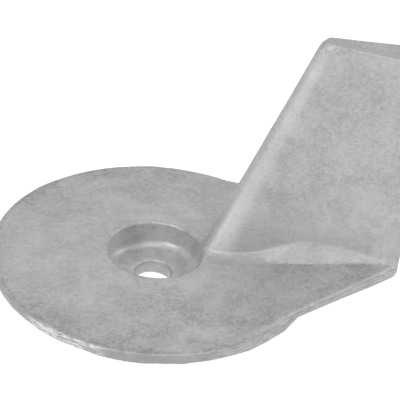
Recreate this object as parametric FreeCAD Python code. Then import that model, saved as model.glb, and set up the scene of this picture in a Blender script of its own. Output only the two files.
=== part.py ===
import FreeCAD, Part

import math
import os

from FreeCAD import Vector

# Trim-tab anode for the gearcase of an outboard motor: one casting with a round plate,
# a tapering tail, a swept wedge fin and a hub that takes one recessed bolt.
# Millimetres. +Z runs from the mounting face towards the fin, +X from the bolt to the tail,
# and the origin lies on the bolt's axis in the hub's mounting face.

# Hub and bolt bore
HUB_HEIGHT = 12.3          # mounting face to the mouth of the counterbore
HUB_RADIUS_BOTTOM = 18.5
HUB_RADIUS_TOP = 20.0      # draft of the hub, where it meets the plate
HUB_EDGE_ROUND = 0.8
BOLT_HOLE_RADIUS = 5.25    # clearance for an M10 bolt
COUNTERBORE_RADIUS = 14.0
COUNTERBORE_DEPTH = 8.1
COUNTERBORE_FLOOR_ROUND = 1.6
HOLE_MOUTH_ROUND = 0.4

# Round plate, slightly domed
PLATE_RADIUS_TOP = 48.0
PLATE_RADIUS_BOTTOM = 46.9
PLATE_RIM_THICKNESS = 3.6
DOME_DROP = 1.0            # from the plate's middle down to its rim
RIM_ROUND = 0.5
PLATE_UNDERSIDE = HUB_HEIGHT - DOME_DROP - PLATE_RIM_THICKNESS

# Tail: a slab whose straight sides run out of the plate and whose top rises to its end
TAIL_END = 71.2            # from the bolt's axis
TAIL_SIDE_DISTANCE = 45.4  # from the bolt's axis square to either straight side
TAIL_SIDE_ANGLE = 26.5     # of each side to the middle line
TAIL_UNDERSIDE_STEP = 1.9  # below the mouth of the counterbore
TAIL_END_TOP = 1.85        # above the mouth of the counterbore, at the tail's end
TAIL_TOP_SLOPE = 0.038
TAIL_CORNER_ROUND = 3.0

# Fin: a wedge with a round nose, thinner towards its top
FIN_ROOT_NOSE = 17.8       # centre of the nose from the bolt's axis, level with the plate
FIN_ROOT_NOSE_RADIUS = 3.15
FIN_TOP_NOSE = 44.9
FIN_TOP_NOSE_RADIUS = 2.7
FIN_HEIGHT = 67.7          # above the plate, at the nose
FIN_WEDGE_ANGLE = 8.0      # of each side to the middle line
FIN_TOP_SLOPE = 11.3       # degrees down towards the trailing edge
FIN_ROOT_FILLET = 2.8
FIN_TOP_ROUND = 0.8
FIN_ROOT_SINK = 1.0        # the wedge runs on into the plate this far

# Construction
CUT_MARGIN = 20.0          # cutting shapes reach this far past what they cut
TOLERANCE = 0.02


def turned(profile):
    """Solid of revolution about the bolt's axis from points (radius, height)."""
    points = [Vector(radius, 0, height) for radius, height in profile]
    outline = Part.makePolygon(points + [points[0]])
    return Part.Face(outline).revolve(Vector(0, 0, 0), Vector(0, 0, 1), 360)


def prism(corners, direction):
    """Solid between a flat polygon and its copy moved along a direction."""
    return Part.Face(Part.makePolygon(corners + [corners[0]])).extrude(direction)


def ring_edges(shape, radius, height):
    """Circular edges about the bolt's axis with a radius, near a height."""
    found = []
    for edge in shape.Edges:
        if edge.Degenerated or not isinstance(edge.Curve, Part.Circle):
            continue
        same_size = abs(edge.Curve.Radius - radius) < TOLERANCE
        same_height = abs(edge.CenterOfMass.z - height) < DOME_DROP
        if same_size and same_height:
            found.append(edge)
    return found


def lies_on(edge, shape):
    """True if the whole edge lies on the shape's faces."""
    skin = Part.Compound(shape.Faces)
    span = edge.LastParameter - edge.FirstParameter
    points = [edge.valueAt(edge.FirstParameter + span * step / 4) for step in range(5)]
    return all(skin.distToShape(Part.Vertex(point))[0] < TOLERANCE for point in points)


def make_plate():
    """The round plate: a drum with a tapering rim, its top cut to a shallow dome."""
    rim_top = HUB_HEIGHT - DOME_DROP
    drum = Part.makeCone(PLATE_RADIUS_BOTTOM, PLATE_RADIUS_TOP, PLATE_RIM_THICKNESS)
    drum.translate(Vector(0, 0, PLATE_UNDERSIDE))
    cap = Part.makeCylinder(PLATE_RADIUS_TOP, DOME_DROP, Vector(0, 0, rim_top))
    dome_radius = (PLATE_RADIUS_TOP ** 2 + DOME_DROP ** 2) / (2 * DOME_DROP)
    ball = Part.makeSphere(dome_radius, Vector(0, 0, HUB_HEIGHT - dome_radius))
    plate = drum.fuse(cap.common(ball)).removeSplitter()
    rim = ring_edges(plate, PLATE_RADIUS_TOP, rim_top)
    rim += ring_edges(plate, PLATE_RADIUS_BOTTOM, PLATE_UNDERSIDE)
    return plate.makeFillet(RIM_ROUND, rim)


def tail_half_width(x):
    """Half of the tail's width at a distance from the bolt's axis."""
    angle = math.radians(TAIL_SIDE_ANGLE)
    return (TAIL_SIDE_DISTANCE - x * math.sin(angle)) / math.cos(angle)


def tail_top(x):
    """Height of the tail's top at a distance from the bolt's axis."""
    return HUB_HEIGHT + TAIL_END_TOP - TAIL_TOP_SLOPE * (TAIL_END - x)


def make_tail():
    """The tail slab. It starts inside the plate, and its top rises to its end."""
    angle = math.radians(TAIL_SIDE_ANGLE)
    half_chord = math.sqrt(PLATE_RADIUS_TOP ** 2 - TAIL_SIDE_DISTANCE ** 2)
    start = TAIL_SIDE_DISTANCE * math.sin(angle) - half_chord * math.cos(angle)
    start_half = tail_half_width(start)
    end_half = tail_half_width(TAIL_END)
    bottom = HUB_HEIGHT - TAIL_UNDERSIDE_STEP
    corners = [
        Vector(start, -start_half, bottom),
        Vector(TAIL_END, -end_half, bottom),
        Vector(TAIL_END, end_half, bottom),
        Vector(start, start_half, bottom),
    ]
    slab = prism(corners, Vector(0, 0, TAIL_END_TOP + TAIL_UNDERSIDE_STEP))
    end_corners = []
    for edge in slab.Edges:
        box = edge.BoundBox
        if box.XMin > TAIL_END - TOLERANCE and box.YLength < TOLERANCE:
            end_corners.append(edge)
    slab = slab.makeFillet(TAIL_CORNER_ROUND, end_corners)
    before = start - CUT_MARGIN
    beyond = TAIL_END + CUT_MARGIN
    waste = prism(
        [
            Vector(before, -PLATE_RADIUS_TOP, tail_top(before)),
            Vector(beyond, -PLATE_RADIUS_TOP, tail_top(beyond)),
            Vector(beyond, -PLATE_RADIUS_TOP, tail_top(beyond) + CUT_MARGIN),
            Vector(before, -PLATE_RADIUS_TOP, tail_top(beyond) + CUT_MARGIN),
        ],
        Vector(0, 2 * PLATE_RADIUS_TOP, 0),
    )
    return slab.cut(waste)


def fin_section(nose, radius, height):
    """Outline of the wedge at one height: a round nose and two straight sides."""
    angle = math.radians(FIN_WEDGE_ANGLE)
    touch_x = nose - radius * math.sin(angle)
    touch_y = radius * math.cos(angle)
    end_y = radius / math.cos(angle) + (TAIL_END - nose) * math.tan(angle)
    near_touch = Vector(touch_x, -touch_y, height)
    far_touch = Vector(touch_x, touch_y, height)
    near_end = Vector(TAIL_END, -end_y, height)
    far_end = Vector(TAIL_END, end_y, height)
    nose_arc = Part.Arc(far_touch, Vector(nose - radius, 0, height), near_touch).toShape()
    near_side = Part.makeLine(near_touch, near_end)
    back = Part.makeLine(near_end, far_end)
    far_side = Part.makeLine(far_end, far_touch)
    return Part.Wire([nose_arc, near_side, back, far_side])


def make_fin():
    """The swept wedge fin. Its top slopes down towards the trailing edge."""
    sweep = (FIN_TOP_NOSE - FIN_ROOT_NOSE) / FIN_HEIGHT
    thinning = (FIN_TOP_NOSE_RADIUS - FIN_ROOT_NOSE_RADIUS) / FIN_HEIGHT
    sections = []
    for rise in (-FIN_ROOT_SINK, FIN_HEIGHT + FIN_ROOT_SINK):
        nose = FIN_ROOT_NOSE + sweep * rise
        radius = FIN_ROOT_NOSE_RADIUS + thinning * rise
        sections.append(fin_section(nose, radius, HUB_HEIGHT + rise))
    wedge = Part.makeLoft(sections, True, True)
    fall = math.tan(math.radians(FIN_TOP_SLOPE))
    top = HUB_HEIGHT + FIN_HEIGHT
    beyond = TAIL_END + CUT_MARGIN
    high = top + fall * FIN_TOP_NOSE
    low = top - fall * (beyond - FIN_TOP_NOSE)
    waste = prism(
        [
            Vector(0, -PLATE_RADIUS_TOP, high),
            Vector(beyond, -PLATE_RADIUS_TOP, low),
            Vector(beyond, -PLATE_RADIUS_TOP, high + CUT_MARGIN),
            Vector(0, -PLATE_RADIUS_TOP, high + CUT_MARGIN),
        ],
        Vector(0, 2 * PLATE_RADIUS_TOP, 0),
    )
    fin = wedge.cut(waste)
    top_edges = [edge for edge in fin.Edges if edge.BoundBox.ZMin > HUB_HEIGHT + FIN_HEIGHT / 2]
    return fin.makeFillet(FIN_TOP_ROUND, top_edges)


def make_hub():
    """The hub under the plate, which stands on the gearcase."""
    profile = [
        (0, 0),
        (HUB_RADIUS_BOTTOM, 0),
        (HUB_RADIUS_TOP, PLATE_UNDERSIDE),
        (0, PLATE_UNDERSIDE),
    ]
    hub = turned(profile)
    return hub.makeFillet(HUB_EDGE_ROUND, ring_edges(hub, HUB_RADIUS_BOTTOM, 0))


def join_fin(base, fin):
    """Fuse the fin to the plate and tail, with a fillet all along its root."""
    body = base.fuse(fin).removeSplitter()
    root = []
    for edge in body.Edges:
        at_end = edge.BoundBox.XMin > TAIL_END - TOLERANCE
        if not at_end and lies_on(edge, fin) and lies_on(edge, base):
            root.append(edge)
    return body.makeFillet(FIN_ROOT_FILLET, root)


def cut_bore(body):
    """Take out the counterbore and the bolt hole, and round their edges."""
    floor = HUB_HEIGHT - COUNTERBORE_DEPTH
    profile = [
        (0, -CUT_MARGIN),
        (BOLT_HOLE_RADIUS, -CUT_MARGIN),
        (BOLT_HOLE_RADIUS, floor),
        (COUNTERBORE_RADIUS, floor),
        (COUNTERBORE_RADIUS, HUB_HEIGHT + CUT_MARGIN),
        (0, HUB_HEIGHT + CUT_MARGIN),
    ]
    body = body.cut(turned(profile))
    body = body.makeFillet(COUNTERBORE_FLOOR_ROUND, ring_edges(body, COUNTERBORE_RADIUS, floor))
    return body.makeFillet(HOLE_MOUTH_ROUND, ring_edges(body, BOLT_HOLE_RADIUS, floor))


def make_anode():
    """The whole casting as one solid."""
    base = make_plate().fuse([make_tail(), make_hub()]).removeSplitter()
    return cut_bore(join_fin(base, make_fin()))


os.makedirs("parts", exist_ok=True)
anode = make_anode()
anode.exportStep("parts/anode_casting.step")
print("solids", len(anode.Solids), "valid", anode.isValid(), "volume", round(anode.Volume))
print("box", anode.optimalBoundingBox())
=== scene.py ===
import math

import bpy
import numpy as np
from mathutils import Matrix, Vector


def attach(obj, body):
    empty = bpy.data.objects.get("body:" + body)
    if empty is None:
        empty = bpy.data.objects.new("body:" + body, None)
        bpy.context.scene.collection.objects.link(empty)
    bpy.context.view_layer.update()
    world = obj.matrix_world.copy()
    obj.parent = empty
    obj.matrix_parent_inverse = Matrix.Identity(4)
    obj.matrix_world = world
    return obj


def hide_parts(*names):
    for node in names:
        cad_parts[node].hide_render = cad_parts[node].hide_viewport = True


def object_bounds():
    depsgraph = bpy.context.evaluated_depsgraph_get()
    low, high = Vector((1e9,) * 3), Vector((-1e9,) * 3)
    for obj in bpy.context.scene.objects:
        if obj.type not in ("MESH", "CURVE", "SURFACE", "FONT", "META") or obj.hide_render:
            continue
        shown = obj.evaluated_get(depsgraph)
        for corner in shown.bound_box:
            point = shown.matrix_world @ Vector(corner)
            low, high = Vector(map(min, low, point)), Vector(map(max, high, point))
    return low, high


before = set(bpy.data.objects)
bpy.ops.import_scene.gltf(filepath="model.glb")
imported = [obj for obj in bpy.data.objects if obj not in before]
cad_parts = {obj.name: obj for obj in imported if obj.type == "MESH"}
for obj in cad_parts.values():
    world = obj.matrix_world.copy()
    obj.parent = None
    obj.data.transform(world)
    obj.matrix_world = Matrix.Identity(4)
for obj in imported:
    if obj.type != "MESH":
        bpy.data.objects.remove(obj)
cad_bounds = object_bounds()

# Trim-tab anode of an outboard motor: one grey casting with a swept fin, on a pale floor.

import openvdb
from mathutils import Matrix, Vector

NODE = "anode_casting"
METRES = 0.001             # the shape below is worked out in millimetres
SEED = 7

CAD_LOW = np.array(cad_bounds[0]) / METRES
CAD_HIGH = np.array(cad_bounds[1]) / METRES

# Plate, hub and bolt bore
HUB_HEIGHT = 12.3
HUB_RADIUS_BOTTOM = 18.5
HUB_RADIUS_TOP = 20.0
HUB_EDGE_ROUND = 0.8
HUB_BLEND = 1.6
BOLT_HOLE_RADIUS = 5.25
COUNTERBORE_RADIUS = 14.0
COUNTERBORE_DEPTH = 7.95
COUNTERBORE_FLOOR_ROUND = 2.3
COUNTERBORE_LIP_ROUND = 0.45
HOLE_END_ROUND = 0.1
LIP_ROUND_RISE = (1, 3)    # heights over which the bore's rounding grows from end to lip
HOLE_MOUTH_ROUND = 0.55
PLATE_RADIUS = 48.0
PLATE_UNDERSIDE = 7.7
DOME_DROP = 1.0
DOME_POWER = 4             # the plate is nearly flat in its middle and falls off at its rim
RIM_DRAFT = 0.2
RIM_ROUND = 0.5
RIM_ROUND_BELOW = 0.3

# Tail
TAIL_END = CAD_HIGH[0]
TAIL_START = 6.3
TAIL_SIDE_DISTANCE = 45.4
TAIL_SIDE_ANGLE = math.radians(26.5)
TAIL_UNDERSIDE = 10.4
TAIL_END_TOP = 14.15
TAIL_TOP_SLOPE = 0.038
TAIL_CORNER_ROUND = 3.5
TAIL_EDGE_ROUND = 1.0
TAIL_EDGE_ROUND_BELOW = 0.4
TAIL_SINK = 0.75           # the tail's top sinks into the plate by this much at its start
TAIL_SINK_END_NEAR = 40.0
TAIL_SINK_END_FAR = 22.0
TAIL_SINK_CHANGE = 3.0     # half of the width over which one side's sink turns into the other's
TAIL_BLEND = 1.2
END_ROUND = 0.7

# Fin
FIN_ROOT_TIP = 14.0        # the leading edge, from the bolt's axis
FIN_TOP_TIP = 41.8
FIN_ROOT_WIDTH = 3.95      # half of the fin's width there, if its sides ran straight on
FIN_TOP_WIDTH = 2.6
FIN_ROOT_SPREAD = 0.123    # of each side to the middle plane
FIN_TOP_SPREAD = 0.128
FIN_ROOT_FRONT = 2.3       # half of the width where the bevel behind the leading edge starts
FIN_TOP_FRONT = 1.25
FIN_ROOT_BEVEL = math.radians(21)
FIN_TOP_BEVEL = math.radians(31)
FIN_ROOT_BLEND = 0.9       # softness of the bevel's edge
FIN_TOP_BLEND = 0.3
FIN_BOTTOM = 11.2          # inside the plate and the tail
FIN_HEIGHT = 67.7          # above the plate, just behind the leading edge
FIN_TOP_LEVEL = 2.0
FIN_TOP_SLOPE = math.radians(10.3)
FIN_TOP_ROUND = 0.8
FIN_NOSE_TOP_ROUND = 3.0
FLARE_START = 50.0         # from here to its end the foot of the fin widens to the tail's corners
FLARE_END = 74.0
FLARE_WIDTH = 6.6
FLARE_HEIGHT = 14.0

# Foot of the fin: how far its facet reaches up the fin and out over the plate
FOOT_RISE_NOSE = 0.9
FOOT_RISE_MIDDLE = 4.8
FOOT_RISE_LENS = 3.5
FOOT_RISE_END = 0.8
FOOT_START = 19.5
FOOT_WIDENING = 3.5        # length over which it reaches its full width
FOOT_RISE_START = 25.0
FOOT_MIDDLE = 43.0
FOOT_LENS = 49.0
FOOT_FADE = 68.0
FOOT_REACH_NOSE = 2.1
FOOT_REACH_SIDE = 4.2
FOOT_REACH_END = 1.0
FOOT_POWER = 1.15          # 1 is a flat bevel and 2 a round fillet

# Rim, dressed by hand with a file
RIM_FLATS = 72
RIM_FLAT_DEPTH = 0.05
FLAT_SHIFT = 0.4           # of the spacing between two flats, either way
FLAT_DEPTHS = (0.3, 1.0)
FLAT_TILT = 0.1
CUT_DEPTHS = (0.5, 1.0)
RIM_CUTS = (               # where the file bit deeper: angle, half width, depth
    (math.radians(-127), math.radians(19), 0.14),
    (math.radians(-69), math.radians(14), 0.04),
)
FILED_ARCS = (             # where it left bare metal: angle, half width, strength
    (math.radians(-131), math.radians(18), 1.0),
    (math.radians(-66), math.radians(18), 0.3),
)

# Mesh
VOXEL = 0.56
MARGIN = 1.6
SLAB = 24                  # planes of the grid worked out at a time
SETTLE_STEPS = 2
LEAST_STEEPNESS = 0.1
RELAX_STEPS = 3
RELAX_SHARE = 0.6
PROBE = 0.02
WAVES = ((16, 0.10), (7, 0.05), (2.5, 0.02))    # width and height of the skin's unevenness

# Patina and painted light and shade. Each pair is where a zone starts and where it is full: in
# millimetres, or as a share of the surface's normal where the name has SLOPE in it. Single
# numbers are shares or millimetres.
MACHINED_SKIN = (0.1, 0.6)      # distance from the bore's surface
SEAT_SKIN = (0.05, 0.3)         # height above the mounting face
# Painted light on the bore's left wall
WALL_LIGHT_SLOPE = (0.6, 0.9)
WALL_LIGHT_SIDE = (4, 12)
RIM_SLOPE = (0.5, 0.85)
RIM_FADE = 0.6
RIM_ZONE = (30, 34)
TAIL_EDGE_START = (28, 40)
TAIL_EDGE_TOP = (15, 18)
TAIL_EDGE_FILED = 0.3
TAIL_EDGE_LIGHTER = 0.12
TAIL_EDGE_DIMMING = 0.6
ABOVE_DEPTH = 1.5
# Painted highlight on the fin's nose bevel, stronger at its root, and on the foot's facet
HIGHLIGHT_ZONE = (-0.9, 0.7)       # distance past the bevel's edge
HIGHLIGHT_FRONT = (0.2, 1.6)
HIGHLIGHT_HEIGHT = (18, 42)
HIGHLIGHT_TOP = (72, 77)
HIGHLIGHT_SHARES = (0.26, 0.74, 0.22)      # everywhere, more at the root, less at the top
HIGHLIGHT_NARROWING = 0.7
FACET_SLOPE = (0.3, 0.6)
FACET_SLOPE_END = (0.9, 0.97)
FACET_TOP = (20, 24)
FACET_LATE = 2
FACET_END = (57, 62)
FACET_SHINE = 0.22
FIN_SLOPE = (0.6, 0.9)
FIN_BEHIND_BEVEL = (-1.0, 1.0)
# Painted light low on the fin's sides
LOW_FIN_TOP = (14, 34)
LOW_FIN_END = (53, 62)
LOW_FIN_START = (30, 44)
LOW_FIN_SHARES = (0.7, 0.3)
# Painted shade across the middle of the fin's sides
MIDDLE_FIN_START = (28, 42)
MIDDLE_FIN_END = (62, 76)
# Less lightening of the edges, partly wear and partly painted highlight, at the fin's top front
# corner
CROWN_HEIGHT = (73, 77)
CROWN_LENGTH = (3, 8)
CROWN_DIMMING = 0.8
LEVEL_SLOPE = (0.8, 0.95)
# Painted shade: a band near the rim on its near and far sides, level surfaces from beside the
# fin's foot to the tail's end, and the plate's near and far sides
SHADE_RIM = (36, 44)
SHADE_RIM_END = (15, 30)
SHADE_RIM_SIDES = (10, 34)
CORNER_SHADE_START = (22, 40)
CORNER_SHADE_DEEPER = (36, 50)
CORNER_SHADE_SHARES = (0.95, 0.05)
CORNER_SHADE_TOP = (30, 50)
CORNER_SHADE_TOP_LIGHTER = 0.5
SHADE_LEFT = (14, 34)
SHADE_LEFT_SHARE = 0.5
SHADE_RIGHT = (14, 30)
SHADE_RIGHT_START = (-34, -8)
SHADE_RIGHT_SHARE = 0.85
TAIL_TOP_START = (26, 42)
TAIL_TOP_HEIGHT = (20, 30)
BRIM_END = (10, 22)
# Lighter convex edges are partly wear and partly painted highlight; on the bore's lip the painted
# highlight stays mostly towards +x
LIP_WIDTH = (0.8, 1.6)
LIP_BRIGHT_START = (3, 9)
LIP_DIMMING = 0.85
BULGE_GAIN = 2.5

# Cast metal
METALLIC = 0.4
ROUGHNESS_RANGE = (0.46, 0.56)
SMOOTHER = 0.10                 # where the metal is machined or filed
SMUDGES = (0.46, 0.60)          # the greys of machined metal
HOLE_SKIN = (0.0051, 0.0056)    # distances from the bolt's axis, in metres
HOLE_SHADE = 0.35
RIM_LINE = ((0.0458, 0.0467), (0.0471, 0.0476))
LIP_LINE = ((0.0140, 0.0143), (0.0144, 0.0150))
PIT_HEIGHT = 0.8
MACHINED_GRAIN = 0.12
FILED_HEIGHT = 0.4
GRAIN_DEPTH = 0.05
DENT_DEPTH = 0.06

# Studio
FLOOR_HALF = 2.0
FLOOR_GREY = 0.3
FLOOR_GLOW = 0.88
WORLD_STRENGTH = 0.53
SOFTBOXES = (              # name, azimuth, elevation, distance, size, power
    ("key", -45, 32, 1.0, 0.7, 3.8),
    ("top", -10, 78, 1.0, 0.7, 2.1),
    ("back", 160, 40, 1.2, 1.0, 1.2),
    ("side", 88, 38, 1.2, 0.8, 3.8),
)

# Camera
CAMERA_AIM = Vector((13.27, 5.38, 25.49)) * METRES
CAMERA_AZIMUTH = math.radians(-14.23)
CAMERA_ELEVATION = math.radians(32.74)
CAMERA_ROLL = math.radians(6.02)
CAMERA_DISTANCE = 0.41338
CAMERA_LENS = 126.78
CAMERA_SENSOR = 36.0
CAMERA_NEAR = 0.01


def ramp(value, start, end):
    """0 before start and 1 after end, with a smooth rise between them."""
    share = np.clip((value - start) / (end - start), 0, 1)
    return share * share * (3 - 2 * share)


def between(start, end, share):
    """From start, where the share is 0, to end, where it is 1."""
    return start + (end - start) * share


def cut(first, second, radius):
    """Where both fields are inside, with the edge between them rounded."""
    reach = np.hypot(np.maximum(radius + first, 0), np.maximum(radius + second, 0))
    return np.minimum(-radius, np.maximum(first, second)) + reach


def join(first, second, radius):
    """Where either field is inside, with a fillet in the corner between them."""
    return -cut(-first, -second, radius)


def melt(first, second, width):
    """Where either field is inside, with a soft transition that suits shallow angles."""
    near = np.maximum(width - np.abs(first - second), 0) / width
    return np.minimum(first, second) - near * near * width / 4


def rim_flats():
    """(angle, depth, tilt) of the flats that the file left round the rim."""
    rng = np.random.default_rng(SEED)
    flats = []
    for index in range(RIM_FLATS):
        angle = 2 * math.pi * (index + rng.uniform(-FLAT_SHIFT, FLAT_SHIFT)) / RIM_FLATS
        depth = RIM_FLAT_DEPTH * rng.uniform(*FLAT_DEPTHS)
        for centre, half_width, extra in RIM_CUTS:
            turn = (angle - centre + math.pi) % (2 * math.pi) - math.pi
            depth += extra * rng.uniform(*CUT_DEPTHS) * max(0, 1 - abs(turn) / half_width)
        flats.append((angle, depth, rng.uniform(-FLAT_TILT, FLAT_TILT)))
    return flats


FLATS = rim_flats()


def plate_field(x, y, z):
    """The round plate, domed, with a tapering rim."""
    radius = np.hypot(x, y)
    top = HUB_HEIGHT - DOME_DROP * (radius / PLATE_RADIUS) ** DOME_POWER
    rim_top = HUB_HEIGHT - DOME_DROP
    side = radius - PLATE_RADIUS + RIM_DRAFT * (rim_top - z)
    for angle, depth, tilt in FLATS:
        chord = x * math.cos(angle) + y * math.sin(angle) - PLATE_RADIUS + depth
        side = np.maximum(side, chord + (RIM_DRAFT + tilt) * (rim_top - z))
    field = cut(z - top, side, RIM_ROUND)
    return cut(field, PLATE_UNDERSIDE - z, RIM_ROUND_BELOW)


def hub_field(x, y, z):
    """The hub under the plate."""
    draft = (HUB_RADIUS_TOP - HUB_RADIUS_BOTTOM) / PLATE_UNDERSIDE
    side = np.hypot(x, y) - HUB_RADIUS_BOTTOM - draft * z
    field = cut(side, -z, HUB_EDGE_ROUND)
    return np.maximum(field, z - PLATE_UNDERSIDE - HUB_EDGE_ROUND)


def tail_outline(x, y):
    """The tail's two sides and its end, in plan."""
    across = x * math.sin(TAIL_SIDE_ANGLE) + np.abs(y) * math.cos(TAIL_SIDE_ANGLE)
    return cut(across - TAIL_SIDE_DISTANCE, x - TAIL_END, TAIL_CORNER_ROUND)


def tail_field(x, y, z):
    """The tapering tail slab, whose top rises to its end and sinks into the plate at its start."""
    outline = np.maximum(tail_outline(x, y), TAIL_START - x)
    right = ramp(-y, -TAIL_SINK_CHANGE, TAIL_SINK_CHANGE)
    sink_end = between(TAIL_SINK_END_FAR, TAIL_SINK_END_NEAR, right)
    sink = TAIL_SINK * (1 - ramp(x, TAIL_START, sink_end))
    top = TAIL_END_TOP - TAIL_TOP_SLOPE * (TAIL_END - x) - sink
    field = cut(outline, z - top, TAIL_EDGE_ROUND)
    return cut(field, TAIL_UNDERSIDE - z, TAIL_EDGE_ROUND_BELOW)


def fin_planes(x, y, z):
    """The fin's flat sides, the bevels behind its leading edge, its depth and its blunt front."""
    rise = z - HUB_HEIGHT
    share = rise / FIN_HEIGHT
    along = x - FIN_ROOT_TIP - (FIN_TOP_TIP - FIN_ROOT_TIP) * share
    width = between(FIN_ROOT_WIDTH, FIN_TOP_WIDTH, share)
    width = width + along * between(FIN_ROOT_SPREAD, FIN_TOP_SPREAD, share)
    flare = FLARE_WIDTH * ramp(x, FLARE_START, FLARE_END)
    width = width + flare * np.clip(1 - rise / FLARE_HEIGHT, 0, 1) ** 2
    front = between(FIN_ROOT_FRONT, FIN_TOP_FRONT, share)
    angle = between(FIN_ROOT_BEVEL, FIN_TOP_BEVEL, np.clip(share, 0, 1))
    bevel = (np.abs(y) - front) * np.cos(angle) - along * np.sin(angle)
    return np.abs(y) - width, bevel, along, front


def fin_field(x, y, z):
    """The swept wedge fin: a blunt front, a bevel on each side of it, and two flat sides."""
    side, bevel, along, front = fin_planes(x, y, z)
    blend = between(FIN_ROOT_BLEND, FIN_TOP_BLEND, np.clip((z - HUB_HEIGHT) / FIN_HEIGHT, 0, 1))
    field = cut(-melt(-side, -bevel, blend), -along, front)
    top = HUB_HEIGHT + FIN_HEIGHT - math.tan(FIN_TOP_SLOPE) * (x - FIN_TOP_TIP - FIN_TOP_LEVEL)
    over = (z - top) * math.cos(FIN_TOP_SLOPE)
    blunt = np.clip(1 - along / (2 * front), 0, 1)
    field = cut(field, over, between(FIN_TOP_ROUND, FIN_NOSE_TOP_ROUND, blunt))
    field = cut(field, x - TAIL_END, END_ROUND)
    return np.maximum(field, FIN_BOTTOM - z)


def foot(base, fin, x):
    """Joins the fin to the plate with a facet whose height and reach change along the fin."""
    fade = ramp(x, FOOT_LENS, FOOT_FADE)
    rise = between(FOOT_RISE_NOSE, FOOT_RISE_MIDDLE, ramp(x, FOOT_RISE_START, FOOT_MIDDLE))
    rise = rise + (FOOT_RISE_LENS - FOOT_RISE_MIDDLE) * ramp(x, FOOT_MIDDLE, FOOT_LENS)
    rise = rise + (FOOT_RISE_END - FOOT_RISE_LENS) * fade
    widening = ramp(x, FOOT_START, FOOT_START + FOOT_WIDENING)
    reach = between(FOOT_REACH_NOSE, FOOT_REACH_SIDE, widening)
    reach = reach + (FOOT_REACH_END - FOOT_REACH_SIDE) * fade
    up = np.clip(1 - base / rise, 0, None)
    out = np.clip(1 - fin / reach, 0, None)
    bend = (up ** FOOT_POWER + out ** FOOT_POWER) ** (1 / FOOT_POWER)
    within = (base < rise) & (fin < reach)
    return np.where(within, reach * (1 - bend), np.minimum(base, fin))


def bore_field(x, y, z):
    """The counterbore and the bolt hole."""
    radius = np.hypot(x, y)
    floor = HUB_HEIGHT - COUNTERBORE_DEPTH
    recess = cut(radius - COUNTERBORE_RADIUS, floor - z, COUNTERBORE_FLOOR_ROUND)
    return join(recess, radius - BOLT_HOLE_RADIUS, HOLE_MOUTH_ROUND)


def anode_field(x, y, z):
    """The whole casting: below 0 inside, 0 on its surface."""
    base = melt(plate_field(x, y, z), tail_field(x, y, z), TAIL_BLEND)
    base = melt(base, hub_field(x, y, z), HUB_BLEND)
    body = foot(base, fin_field(x, y, z), x)
    body = np.maximum(body, np.where(x > FLARE_START, tail_outline(x, y), x - TAIL_END))
    rounding = between(HOLE_END_ROUND, COUNTERBORE_LIP_ROUND, ramp(z, *LIP_ROUND_RISE))
    return cut(body, -bore_field(x, y, z), rounding)


def grid_values():
    """The field on a regular grid round the CAD box, and the grid's first corner."""
    low = CAD_LOW - MARGIN
    counts = np.ceil((CAD_HIGH + MARGIN - low) / VOXEL).astype(int) + 1
    xs, ys, zs = (low[axis] + VOXEL * np.arange(counts[axis]) for axis in range(3))
    values = np.empty(counts, np.float32)
    for first in range(0, counts[0], SLAB):
        part = slice(first, first + SLAB)
        values[part] = anode_field(*np.meshgrid(xs[part], ys, zs, indexing="ij"))
    return values, low


def slopes(points):
    """The field's gradient at each point."""
    gradient = np.empty_like(points)
    for axis in range(3):
        step = np.zeros(3)
        step[axis] = PROBE
        after = anode_field(*(points + step).T)
        before = anode_field(*(points - step).T)
        gradient[:, axis] = (after - before) / (2 * PROBE)
    return gradient


def settle(points):
    """Moves each point onto the surface."""
    for _ in range(SETTLE_STEPS):
        gradient = slopes(points)
        steepness = np.maximum((gradient ** 2).sum(1), LEAST_STEEPNESS)
        shift = np.clip(anode_field(*points.T) / steepness, -VOXEL, VOXEL)
        points = points - gradient * shift[:, None]
    return points


def neighbour_means(points, quads):
    """The mean of each point's neighbours along the edges of the quads."""
    total = np.zeros_like(points)
    count = np.zeros(len(points))
    for side in range(4):
        here = quads[:, side]
        there = quads[:, (side + 1) % 4]
        for a, b in ((here, there), (there, here)):
            for axis in range(3):
                total[:, axis] += np.bincount(a, points[b, axis], len(points))
            count += np.bincount(a, minlength=len(points))
    return total / count[:, None]


def unit(vectors):
    """The vectors at a length of 1."""
    return vectors / np.maximum(np.linalg.norm(vectors, axis=1), 1e-9)[:, None]


def lattice_noise(points, size, rng):
    """Smooth noise between -1 and 1 whose bumps are about `size` millimetres wide."""
    cells = np.ceil((CAD_HIGH - CAD_LOW + 4 * MARGIN) / size).astype(int) + 3
    table = rng.uniform(-1, 1, cells)
    place = (points - CAD_LOW + 2 * MARGIN) / size
    corner = np.floor(place).astype(int)
    share = place - corner
    share = share * share * (3 - 2 * share)
    total = np.zeros(len(points))
    for dx in (0, 1):
        for dy in (0, 1):
            for dz in (0, 1):
                step = np.array((dx, dy, dz))
                weight = np.where(step, share, 1 - share).prod(1)
                total += weight * table[tuple((corner + step).T)]
    return total


def cast_shape():
    """The casting's points on its surface, spread evenly, and the quads between them."""
    values, low = grid_values()
    grid = openvdb.FloatGrid(float(values.max()))
    grid.copyFromArray(values)
    points, quads = grid.convertToQuads(isovalue=0.0)
    points = settle(low + points.astype(float) * VOXEL)
    for _ in range(RELAX_STEPS):
        normal = unit(slopes(points))
        drift = neighbour_means(points, quads) - points
        drift -= normal * (drift * normal).sum(1)[:, None]
        points = settle(points + RELAX_SHARE * drift)
    return points, quads


def bore_masks(x, y, z, sideways):
    """The machined bore and mounting face, and painted light on the bore's left wall."""
    bore = 1 - ramp(np.abs(bore_field(x, y, z)), *MACHINED_SKIN)
    machined = np.maximum(bore, 1 - ramp(z, *SEAT_SKIN))
    # Painted light on the bore's left wall
    painted_wall_light = machined * ramp(sideways, *WALL_LIGHT_SLOPE) * ramp(-x, *WALL_LIGHT_SIDE)
    return {"machined": machined, "painted_wall_light": painted_wall_light}


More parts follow.
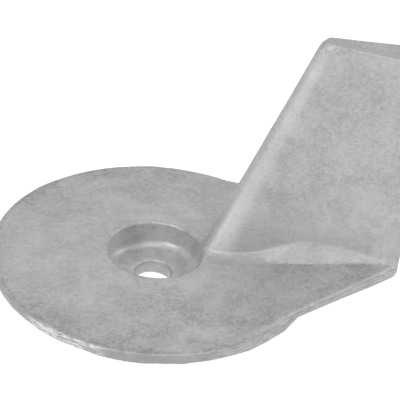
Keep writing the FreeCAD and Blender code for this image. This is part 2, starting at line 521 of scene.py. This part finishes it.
def rim_masks(x, y, z, sideways):
    """The rim's side, its filed places, and the part of it along the tail."""
    low_down = 1 - ramp(z, TAIL_END_TOP - RIM_FADE, TAIL_END_TOP + RIM_FADE)
    edge = ramp(sideways, *RIM_SLOPE) * low_down * ramp(np.hypot(x, y), *RIM_ZONE)
    tail_edge = ramp(x, *TAIL_EDGE_START) * (1 - ramp(z, *TAIL_EDGE_TOP))
    edge = edge * (1 - TAIL_EDGE_LIGHTER * tail_edge)
    bearing = np.arctan2(y, x)
    filed = TAIL_EDGE_FILED * tail_edge
    for centre, half_width, strength in FILED_ARCS:
        arc = 1 - ramp(np.abs(bearing - centre), 0.5 * half_width, half_width)
        filed = np.maximum(filed, strength * arc)
    brim = 1 - ramp(x, *BRIM_END)
    return {"edge": edge, "filed": filed * edge, "brim": brim}, tail_edge


def fin_masks(x, y, z, normal):
    """Painted highlight on the fin's nose bevel and foot facet, painted light low on its sides and
    painted shade across their middle.
    """
    side, bevel, along, _ = fin_planes(x, y, z)
    above = ramp(z, TAIL_END_TOP - ABOVE_DEPTH, TAIL_END_TOP)
    # Painted highlight along the nose's bevel
    narrowing = 1 - HIGHLIGHT_NARROWING * np.clip((z - HUB_HEIGHT) / FIN_HEIGHT, 0, 1)
    painted_highlight = ramp((bevel - side) / narrowing, *HIGHLIGHT_ZONE) * ramp(along, *HIGHLIGHT_FRONT) * above
    everywhere, at_root, at_top = HIGHLIGHT_SHARES
    painted_highlight *= everywhere + at_root * (1 - ramp(z, *HIGHLIGHT_HEIGHT)) - at_top * ramp(z, *HIGHLIGHT_TOP)

    # Painted highlight on the foot's facet
    facet = ramp(normal[:, 2], *FACET_SLOPE) * (1 - ramp(normal[:, 2], *FACET_SLOPE_END))
    facet = facet * above * (1 - ramp(z, *FACET_TOP))
    lens = ramp(x, FOOT_MIDDLE + FACET_LATE, FOOT_LENS + FACET_LATE)
    shine = FACET_SHINE * facet * lens * (1 - ramp(x, *FACET_END))

    flank = ramp(np.abs(normal[:, 1]), *FIN_SLOPE) * above
    flank = flank * (1 - ramp(bevel - side, *FIN_BEHIND_BEVEL))
    # Painted light low on the fin's sides
    low_fin_painted_light = flank * (1 - ramp(z, *LOW_FIN_TOP)) * (1 - ramp(x, *LOW_FIN_END))
    nose_share, back_share = LOW_FIN_SHARES
    low_fin_painted_light *= nose_share + back_share * ramp(x, *LOW_FIN_START)
    # Painted shade across the middle of the fin's sides
    middle_fin_painted_shade = flank * ramp(z, *MIDDLE_FIN_START) * (1 - ramp(z, *MIDDLE_FIN_END))
    # Top front corner of the fin, where the lighter edges and their painted highlight are cut back
    crown = ramp(z, *CROWN_HEIGHT) * (1 - ramp(along, *CROWN_LENGTH))
    masks = {"painted_highlight": np.maximum(painted_highlight, shine), "low_fin_painted_light": low_fin_painted_light, "middle_fin_painted_shade": middle_fin_painted_shade}
    return masks, crown


def shade_and_tail_masks(x, y, z, normal):
    """Painted shade on the plate and the tail, and the tail's top."""
    # Painted shade near the rim, beside the fin's foot and over the tail, and on the plate's far
    # and near sides
    rim = ramp(np.hypot(x, y), *SHADE_RIM) * (1 - ramp(x, *SHADE_RIM_END))
    rim = rim * ramp(np.abs(y), *SHADE_RIM_SIDES)
    level = ramp(normal[:, 2], *LEVEL_SLOPE)
    start_share, end_share = CORNER_SHADE_SHARES
    corner_shade = ramp(x, *CORNER_SHADE_START) * level
    corner_shade *= (start_share + end_share * ramp(x, *CORNER_SHADE_DEEPER)) * (
        1 - CORNER_SHADE_TOP_LIGHTER * ramp(z, *CORNER_SHADE_TOP)
    )
    left = SHADE_LEFT_SHARE * ramp(y, *SHADE_LEFT)
    right = SHADE_RIGHT_SHARE * ramp(-y, *SHADE_RIGHT) * ramp(x, *SHADE_RIGHT_START)
    tail = ramp(x, *TAIL_TOP_START) * level * (1 - ramp(z, *TAIL_TOP_HEIGHT))
    return {"plate_painted_shade": np.maximum.reduce((rim, corner_shade, right, left)), "tail": tail}


def patina_and_painted_light(points, normal, bulge):
    """Masks of the bare and machined places, the lighter edges, and the painted light, highlight
    and shade, by the names that the material reads.
    """
    x, y, z = points.T
    sideways = np.hypot(normal[:, 0], normal[:, 1])
    masks = bore_masks(x, y, z, sideways)
    on_rim, tail_edge = rim_masks(x, y, z, sideways)
    on_fin, crown = fin_masks(x, y, z, normal)
    masks.update(on_rim)
    masks.update(on_fin)
    masks.update(shade_and_tail_masks(x, y, z, normal))
    # The bulge lightens convex edges, partly as wear and partly as painted highlight: less on the
    # tail's edge, the fin's top front corner and the lip away from +x
    lip = 1 - ramp(np.abs(np.hypot(x, y) - COUNTERBORE_RADIUS), *LIP_WIDTH)
    bulge = bulge * (1 - TAIL_EDGE_DIMMING * tail_edge)
    bulge = bulge * (1 - LIP_DIMMING * lip * (1 - ramp(x, *LIP_BRIGHT_START)))
    bulge = bulge * (1 - CROWN_DIMMING * crown)
    masks["bulge"] = np.clip(bulge * BULGE_GAIN, -1, 1)
    return masks


def make_casting():
    """The casting's mesh, with its cast unevenness and the masks that its material reads."""
    points, quads = cast_shape()
    normal = unit(slopes(points))
    bulge = -((neighbour_means(points, quads) - points) * normal).sum(1) / VOXEL
    masks = patina_and_painted_light(points, normal, bulge)

    rng = np.random.default_rng(SEED)
    wave = sum(height * lattice_noise(points, size, rng) for size, height in WAVES)
    points = points + normal * ((1 - masks["machined"]) * wave)[:, None]
    points = np.clip(points, CAD_LOW, CAD_HIGH)

    mesh = bpy.data.meshes.new("casting")
    mesh.from_pydata((points * METRES).tolist(), [], quads.tolist())
    for name, mask in masks.items():
        layer = mesh.attributes.new(name, "FLOAT", "POINT")
        layer.data.foreach_set("value", mask.astype(np.float32))
    mesh.shade_smooth()
    casting = bpy.data.objects.new("casting", mesh)
    bpy.context.scene.collection.objects.link(casting)
    return casting


class Nodes:
    """Short calls that build a material's node tree."""

    def __init__(self, name):
        self.material = bpy.data.materials.new(name)
        self.material.use_nodes = True
        self.tree = self.material.node_tree
        self.shader = self.tree.nodes["Principled BSDF"]
        self.place = self.tree.nodes.new("ShaderNodeTexCoord").outputs["Object"]

    def feed(self, socket, value):
        """Links a socket to another one, or sets its own value."""
        if isinstance(value, bpy.types.NodeSocket):
            self.tree.links.new(value, socket)
        else:
            socket.default_value = value

    def mask(self, name):
        """One of the mesh's masks."""
        node = self.tree.nodes.new("ShaderNodeAttribute")
        node.attribute_name = name
        return node.outputs["Fac"]

    def noise(self, size, detail=3.0, roughness=0.55, distortion=0.0, stretch=None):
        """Noise whose patches are about `size` millimetres wide."""
        node = self.tree.nodes.new("ShaderNodeTexNoise")
        place = self.place
        if stretch:
            mapping = self.tree.nodes.new("ShaderNodeMapping")
            mapping.inputs["Scale"].default_value = stretch
            self.feed(mapping.inputs["Vector"], place)
            place = mapping.outputs["Vector"]
        self.feed(node.inputs["Vector"], place)
        node.inputs["Scale"].default_value = 1 / (size * METRES)
        node.inputs["Detail"].default_value = detail
        node.inputs["Roughness"].default_value = roughness
        node.inputs["Distortion"].default_value = distortion
        return node.outputs[0]

    def span(self, value, start, end, low=0.0, high=1.0):
        """Maps start..end to low..high, and holds the ends."""
        node = self.tree.nodes.new("ShaderNodeMapRange")
        node.interpolation_type = "SMOOTHSTEP"
        self.feed(node.inputs["Value"], value)
        ends = {"From Min": start, "From Max": end, "To Min": low, "To Max": high}
        for name, number in ends.items():
            node.inputs[name].default_value = number
        return node.outputs["Result"]

    def math(self, operation, first, second):
        """One number worked out of two."""
        node = self.tree.nodes.new("ShaderNodeMath")
        node.operation = operation
        self.feed(node.inputs[0], first)
        self.feed(node.inputs[1], second)
        return node.outputs[0]

    def times(self, first, second):
        return self.math("MULTIPLY", first, second)

    def mix(self, share, first, second):
        """The first colour, turned into the second by the share."""
        node = self.tree.nodes.new("ShaderNodeMix")
        node.data_type = "RGBA"
        self.feed(node.inputs["Factor"], share)
        self.feed(node.inputs["A"], first)
        self.feed(node.inputs["B"], second)
        return node.outputs["Result"]

    def ring(self, radius, edges):
        """1 between two edges, each given as where it starts and where it is full."""
        inner, outer = edges
        return self.times(self.span(radius, *inner), self.span(radius, *outer, 1.0, 0.0))

    def from_axis(self):
        """Distance from the bolt's axis, in metres."""
        flat = self.tree.nodes.new("ShaderNodeVectorMath")
        flat.operation = "MULTIPLY"
        flat.inputs[1].default_value = (1, 1, 0)
        self.feed(flat.inputs[0], self.place)
        length = self.tree.nodes.new("ShaderNodeVectorMath")
        length.operation = "LENGTH"
        self.feed(length.inputs[0], flat.outputs["Vector"])
        return length.outputs["Value"]

    def grey_of(self, level):
        """The grey of a level that varies."""
        node = self.tree.nodes.new("ShaderNodeCombineColor")
        for name in ("Red", "Green", "Blue"):
            self.feed(node.inputs[name], level)
        return node.outputs["Color"]

    def bump(self, height, depth, normal=None):
        """Bump of a height of 0 to 1 that stands for `depth` millimetres."""
        node = self.tree.nodes.new("ShaderNodeBump")
        node.inputs["Distance"].default_value = depth * METRES
        self.feed(node.inputs["Height"], height)
        if normal:
            self.feed(node.inputs["Normal"], normal)
        return node.outputs["Normal"]


def grey(level, warmth=0.0):
    return (level * (1 + warmth), level, level * (1 - warmth), 1)


def grey(level, warmth=0.0):
    """A grey of a fixed level, a little warmer than neutral if asked."""
    return (level * (1 + warmth), level, level * (1 - warmth), 1)


def make_cast_metal():
    """Raw cast metal: cloudy grey, finely pitted, smoother where it is machined or filed, with
    painted light, highlight and shade on parts of it.
    """
    nodes = Nodes("cast_metal")
    machined = nodes.mask("machined")

    clouds = nodes.span(nodes.noise(14, 5, 0.62, 0.2), 0.36, 0.66)
    patches = nodes.span(nodes.noise(6, 4, 0.58, 0.3), 0.38, 0.66)
    dull = nodes.span(nodes.noise(9, 7, 0.68), 0.38, 0.62, 0.2, 1.0)
    marks = nodes.span(nodes.noise(3.6, 6, 0.72, 0.3), 0.47, 0.60)
    mottle = nodes.span(nodes.noise(1.3, 3, 0.6), 0.35, 0.68)
    grit = nodes.span(nodes.noise(0.42, 2, 0.6), 0.35, 0.7)
    pits = nodes.span(nodes.noise(0.5, 2, 0.5), 0.27, 0.37, 1.0, 0.0)
    specks = nodes.span(nodes.noise(0.45, 2, 0.5), 0.66, 0.72)
    scratches = nodes.span(nodes.noise(0.9, 2, 0.5, stretch=(0.4, 1.7, 1.2)), 0.60, 0.68)
    streaks = nodes.span(nodes.noise(1.0, 2, 0.6, stretch=(0.3, 0.3, 2.6)), 0.44, 0.58)
    smudges = nodes.span(nodes.noise(3.2, 4, 0.6, 0.4), 0.40, 0.60, *SMUDGES)
    breaks = nodes.span(nodes.noise(1.1, 3, 0.6), 0.42, 0.58)

    bulges = nodes.span(nodes.mask("bulge"), 0.15, 0.8)
    # Lighter convex edges: partly wear, partly painted highlight
    wear_and_sheen = nodes.times(bulges, nodes.span(mottle, 0.1, 0.9, 0.35, 1.0))
    bare = nodes.times(nodes.mask("filed"), streaks)
    radius = nodes.from_axis()
    hole = nodes.span(radius, *HOLE_SKIN, 1.0, 0.0)
    rim_line = nodes.times(nodes.ring(radius, RIM_LINE), nodes.mask("brim"))
    lip_line = nodes.ring(radius, LIP_LINE)
    line = nodes.times(nodes.math("MAXIMUM", rim_line, lip_line), breaks)

    layers = (             # where, how strong, which grey; each lies over the ones before
        (patches, 0.5, grey(0.32, 0.008)),
        # painted light low on the fin's sides
        (nodes.mask("low_fin_painted_light"), 0.5, grey(0.64)),
        # painted shade across the middle of the fin's sides
        (nodes.mask("middle_fin_painted_shade"), 0.28, grey(0.28)),
        # painted highlight on the nose bevel and the foot's facet
        (nodes.mask("painted_highlight"), 0.9, grey(0.77)),
        # painted shade on the plate, its rim and the tail
        (nodes.times(nodes.mask("plate_painted_shade"), dull), 0.95, grey(0.23, 0.006)),
        (nodes.times(nodes.mask("tail"), marks), 0.36, grey(0.5)),
        (mottle, 0.38, grey(0.56)),
        (grit, 0.42, grey(0.58)),
        (pits, 0.5, grey(0.24, 0.02)),
        (scratches, 0.25, grey(0.27, 0.01)),
        (specks, 0.45, grey(0.70)),
        # lighter convex edges: partly wear, partly painted highlight
        (wear_and_sheen, 0.55, grey(0.66)),
        (machined, 0.62, nodes.grey_of(smudges)),
        # painted light on the bore's left wall
        (nodes.mask("painted_wall_light"), 0.6, grey(0.82)),
        (hole, HOLE_SHADE, grey(0.3)),
        (line, 0.55, grey(0.24, 0.01)),
        (nodes.mask("edge"), 0.75, grey(0.29, 0.01)),
        (bare, 0.95, grey(0.76)),
    )
    colour = nodes.mix(clouds, grey(0.36, 0.005), grey(0.475, 0.002))
    for where, strength, paint in layers:
        colour = nodes.mix(nodes.times(where, strength), colour, paint)

    roughness = nodes.span(patches, 0, 1, *ROUGHNESS_RANGE)
    for smooth in (machined, bare):
        roughness = nodes.math("SUBTRACT", roughness, nodes.times(smooth, SMOOTHER))

    height = nodes.math("SUBTRACT", nodes.noise(0.7, 3, 0.6), nodes.times(pits, PIT_HEIGHT))
    height = nodes.times(height, nodes.span(machined, 0, 1, 1.0, MACHINED_GRAIN))
    height = nodes.math("ADD", height, nodes.times(bare, FILED_HEIGHT))
    normal = nodes.bump(height, GRAIN_DEPTH)
    normal = nodes.bump(nodes.noise(4, 3, 0.5), DENT_DEPTH, normal)

    nodes.feed(nodes.shader.inputs["Base Color"], colour)
    nodes.feed(nodes.shader.inputs["Roughness"], roughness)
    nodes.feed(nodes.shader.inputs["Normal"], normal)
    nodes.shader.inputs["Metallic"].default_value = METALLIC
    return nodes.material


def make_floor():
    """A plain pale floor, far larger than the view."""
    half = FLOOR_HALF
    corners = [(-half, -half, 0), (half, -half, 0), (half, half, 0), (-half, half, 0)]
    mesh = bpy.data.meshes.new("floor")
    mesh.from_pydata(corners, [], [(0, 1, 2, 3)])
    floor = bpy.data.objects.new("floor", mesh)
    bpy.context.scene.collection.objects.link(floor)
    material = bpy.data.materials.new("floor_paper")
    material.use_nodes = True
    shader = material.node_tree.nodes["Principled BSDF"]
    shader.inputs["Base Color"].default_value = grey(FLOOR_GREY)
    shader.inputs["Roughness"].default_value = 1.0
    shader.inputs["Specular IOR Level"].default_value = 0.0
    shader.inputs["Emission Color"].default_value = (1, 1, 1, 1)
    shader.inputs["Emission Strength"].default_value = FLOOR_GLOW
    mesh.materials.append(material)
    return floor


def view_axes(azimuth, elevation, roll):
    """Right, up and back of a camera that looks at the object from an azimuth and elevation."""
    back = Vector((
        math.sin(azimuth) * math.cos(elevation),
        -math.cos(azimuth) * math.cos(elevation),
        math.sin(elevation),
    ))
    level = Vector((math.cos(azimuth), math.sin(azimuth), 0))
    upright = back.cross(level)
    right = math.cos(roll) * level + math.sin(roll) * upright
    return right, back.cross(right), back


def place_at(target, azimuth, elevation, distance, roll=0.0):
    """Matrix of a camera or light at a distance from its target, pointing at it."""
    right, up, back = view_axes(azimuth, elevation, roll)
    matrix = Matrix((right, up, back)).transposed().to_4x4()
    matrix.translation = target + distance * back
    return matrix


def make_camera():
    """The camera, above the plate's right side."""
    data = bpy.data.cameras.new("camera")
    data.sensor_width = CAMERA_SENSOR
    data.lens = CAMERA_LENS
    data.clip_start = CAMERA_NEAR
    camera = bpy.data.objects.new("camera", data)
    camera.matrix_world = place_at(
        CAMERA_AIM, CAMERA_AZIMUTH, CAMERA_ELEVATION, CAMERA_DISTANCE, CAMERA_ROLL
    )
    bpy.context.scene.collection.objects.link(camera)
    bpy.context.scene.camera = camera


def make_softbox(name, azimuth, elevation, distance, size, power):
    """A square light that points at the object, placed by its angles in degrees."""
    data = bpy.data.lights.new(name, "AREA")
    data.shape = "SQUARE"
    data.size = size
    data.energy = power
    light = bpy.data.objects.new(name, data)
    light.matrix_world = place_at(
        CAMERA_AIM, math.radians(azimuth), math.radians(elevation), distance
    )
    bpy.context.scene.collection.objects.link(light)


def make_studio():
    """Soft light from all round, a little stronger from the left."""
    world = bpy.data.worlds.new("studio")
    world.use_nodes = True
    background = world.node_tree.nodes["Background"]
    background.inputs["Color"].default_value = (1, 1, 1, 1)
    background.inputs["Strength"].default_value = WORLD_STRENGTH
    bpy.context.scene.world = world
    for softbox in SOFTBOXES:
        make_softbox(*softbox)
    bpy.context.scene.view_settings.view_transform = "Standard"


casting = make_casting()
casting.data.materials.append(make_cast_metal())
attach(casting, "root")
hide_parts(NODE)
make_floor()
make_camera()
make_studio()
